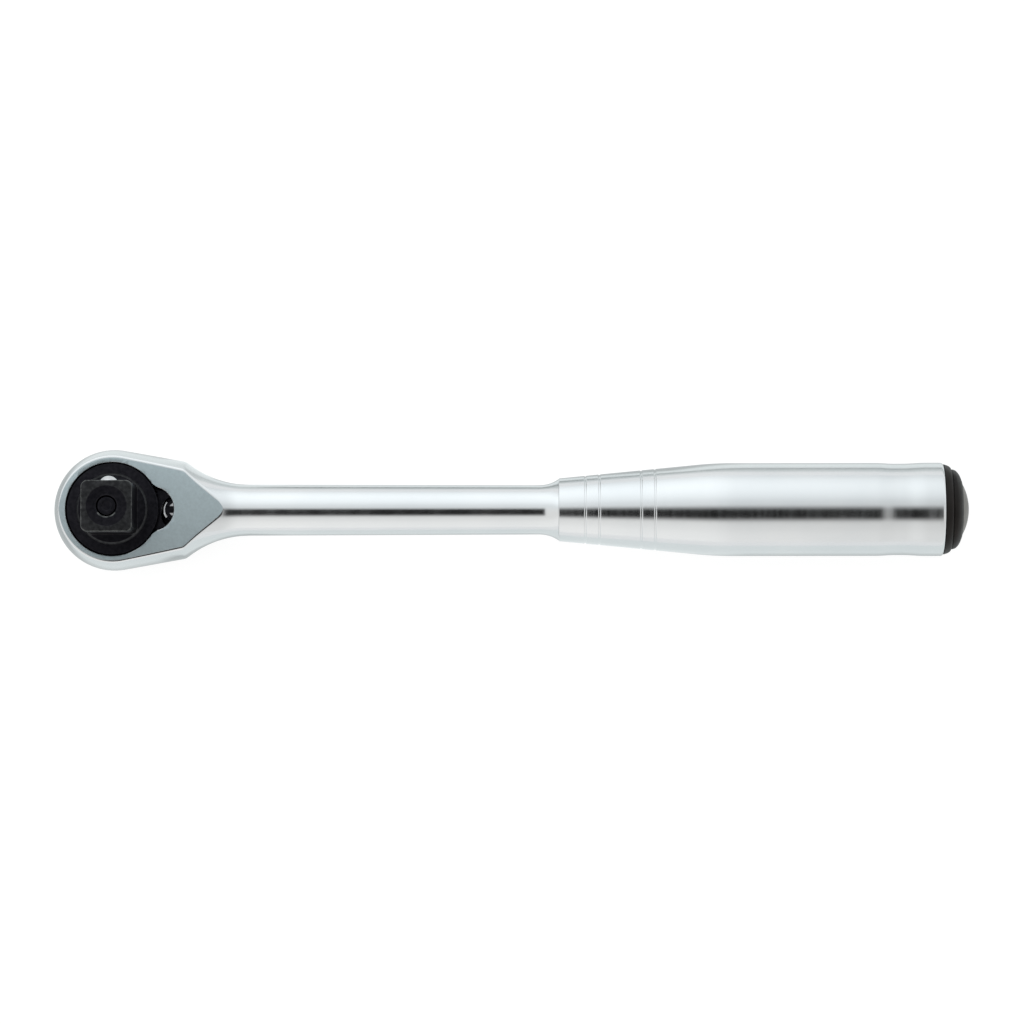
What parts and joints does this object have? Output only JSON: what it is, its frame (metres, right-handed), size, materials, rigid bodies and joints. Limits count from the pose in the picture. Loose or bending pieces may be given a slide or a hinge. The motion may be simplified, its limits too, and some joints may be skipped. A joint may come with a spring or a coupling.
{
  "type": "ratchet wrench",
  "caption": "Reversible ratchet wrench with a square drive, quick-release button, thumb lever and a round tubular metal handle.",
  "frame": {"origin": "on the table under the middle of the wrench as it lies on its barrel, the bottom centre of its box", "axes": "+X along the handle towards its plug, +Z along the drive square towards the socket, +Y across the head"},
  "size_m": [0.1724, 0.0228, 0.0256],
  "materials": {
    "satin_chrome": "satin chrome plate",
    "black_oxide": "black oxide, lightly oiled",
    "bright_steel": "ground bright",
    "black_plastic": "moulded, half gloss",
    "badge_grey": "smooth dome, half gloss",
    "seal_rubber": "matt"
  },
  "bodies": {
    "wrench_body": {"head_and_shank": "satin_chrome", "handle_sleeve": "satin_chrome", "end_plug": "black_plastic", "cap_badge": "badge_grey", "wave_washer": "bright_steel", "lever_o_ring": "seal_rubber"},
    "drive": {"drive_gear": "black_oxide", "thrust_washer": "bright_steel", "gear_circlip": "black_oxide", "button_snap_ring": "bright_steel", "button_spring": "bright_steel"},
    "release": {"release_rod": "black_oxide", "release_button": "black_oxide"},
    "ball": {"detent_ball": "bright_steel"},
    "reverser": {"reversing_lever": "black_oxide", "lever_shaft": "black_oxide", "lever_clip": "bright_steel", "plunger_spring": "bright_steel"},
    "pawl": {"pawl": "black_oxide"},
    "plunger": {"pawl_plunger": "bright_steel"}
  },
  "joints": [
    {"name": "drive_spin", "type": "hinge", "parent": "wrench_body", "child": "drive", "pos_m": [-0.07484, 0, 0.00887], "axis": [0, 0, 1], "continuous": true},
    {"name": "button_press", "type": "slide", "parent": "drive", "child": "release", "axis": [0, 0, 1], "range_m": [0, 0.0018], "stiffness_N_per_m": 2500, "springref_m": -0.0012, "deforming": ["button_spring"]},
    {"name": "ball_retract", "type": "slide", "parent": "drive", "child": "ball", "axis": [0, -1, 0], "range_m": [0, 0.00107]},
    {"name": "lever_flip", "type": "hinge", "parent": "wrench_body", "child": "reverser", "pos_m": [-0.06315, 0, 0.00887], "axis": [0, 0, 1], "range_deg": [-60, 0]},
    {"name": "pawl_rock", "type": "hinge", "parent": "wrench_body", "child": "pawl", "pos_m": [-0.06747, 0, 0.00887], "axis": [0, 0, 1], "range_deg": [0, 14]},
    {"name": "plunger_travel", "type": "slide", "parent": "reverser", "child": "plunger", "axis": [0.866, 0.5, 0], "range_m": [0, 0.00045], "stiffness_N_per_m": 1200, "springref_m": -0.0008, "deforming": ["plunger_spring"]}
  ],
  "couplings": [
    {"joint": "ball_retract", "follows": "button_press", "ratio": 0.5939},
    {"joint": "pawl_rock", "follows": "lever_flip", "ratio": -0.2333}
  ]
}
